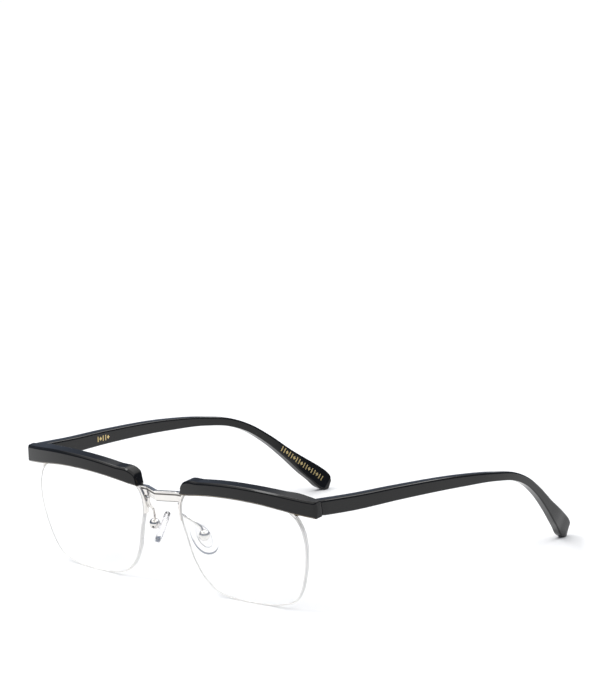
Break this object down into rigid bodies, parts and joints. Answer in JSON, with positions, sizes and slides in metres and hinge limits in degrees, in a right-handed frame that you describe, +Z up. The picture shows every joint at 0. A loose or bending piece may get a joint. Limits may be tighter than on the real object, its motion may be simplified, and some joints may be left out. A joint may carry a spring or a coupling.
{
  "type": "half rim eyeglasses",
  "caption": "Half rim eyeglasses with acetate brow bars over clear lenses held by a metal upper rim and a nylon cord, folding temples and swivelling nose pads.",
  "frame": {"origin": "on the floor that the glasses stand on, under the middle of their bounding box", "axes": "+X towards the wearer's left, +Y from the lenses back along the temples, +Z up, as the glasses stand open on the lower lens edges and the temple tips"},
  "size_m": [0.1418, 0.1426, 0.0415],
  "materials": {
    "polished_metal": "polished, slightly warm silver",
    "hinge_metal": "fine machined",
    "screw_steel": "machined",
    "black_acetate": "polished cellulose acetate",
    "clear_lens": "clear, with a softly polished edge",
    "nylon": "translucent white",
    "clear_silicone": "clear and smooth",
    "pad_insert": "clear moulded"
  },
  "bodies": {
    "front": {"bridge": "polished_metal", "rim_left": "polished_metal", "rim_right": "polished_metal", "rim_lug_nasal_left": "polished_metal", "rim_lug_nasal_right": "polished_metal", "rim_lug_temporal_left": "polished_metal", "rim_lug_temporal_right": "polished_metal", "pad_arm_left": "polished_metal", "pad_arm_right": "polished_metal", "pad_box_left": "polished_metal", "pad_box_right": "polished_metal", "hinge_front_leaf_left": "hinge_metal", "hinge_front_leaf_right": "hinge_metal", "brow_screw_nasal_left": "screw_steel", "brow_screw_nasal_right": "screw_steel", "brow_screw_temporal_left": "screw_steel", "brow_screw_temporal_right": "screw_steel", "pad_screw_left": "screw_steel", "pad_screw_right": "screw_steel", "hinge_screw_left": "screw_steel", "hinge_screw_right": "screw_steel", "brow_bar_left": "black_acetate", "brow_bar_right": "black_acetate", "lens_left": "clear_lens", "lens_right": "clear_lens", "nylon_cord_left": "nylon", "nylon_cord_right": "nylon", "rim_liner_left": "nylon", "rim_liner_right": "nylon"},
    "temple_left": {"temple_left": "black_acetate", "temple_core_left": "hinge_metal", "hinge_temple_leaf_left": "hinge_metal"},
    "temple_right": {"temple_right": "black_acetate", "temple_core_right": "hinge_metal", "hinge_temple_leaf_right": "hinge_metal"},
    "pad_left": {"nose_pad_left": "clear_silicone", "pad_insert_left": "pad_insert"},
    "pad_right": {"nose_pad_right": "clear_silicone", "pad_insert_right": "pad_insert"}
  },
  "joints": [
    {"name": "fold_left", "type": "hinge", "parent": "front", "child": "temple_left", "pos_m": [0.0623, -0.06002, 0.03659], "axis": [0, 0, 1], "range_deg": [0, 87]},
    {"name": "fold_right", "type": "hinge", "parent": "front", "child": "temple_right", "pos_m": [-0.0623, -0.06002, 0.03659], "axis": [0, 0, -1], "range_deg": [0, 79]},
    {"name": "pad_tilt_left", "type": "hinge", "parent": "front", "child": "pad_left", "pos_m": [0.01225, -0.05959, 0.01893], "axis": [0.4249, 0.7963, 0.4306], "range_deg": [-10, 10]},
    {"name": "pad_tilt_right", "type": "hinge", "parent": "front", "child": "pad_right", "pos_m": [-0.01225, -0.05959, 0.01893], "axis": [-0.4249, 0.7963, 0.4306], "range_deg": [-10, 10]}
  ]
}
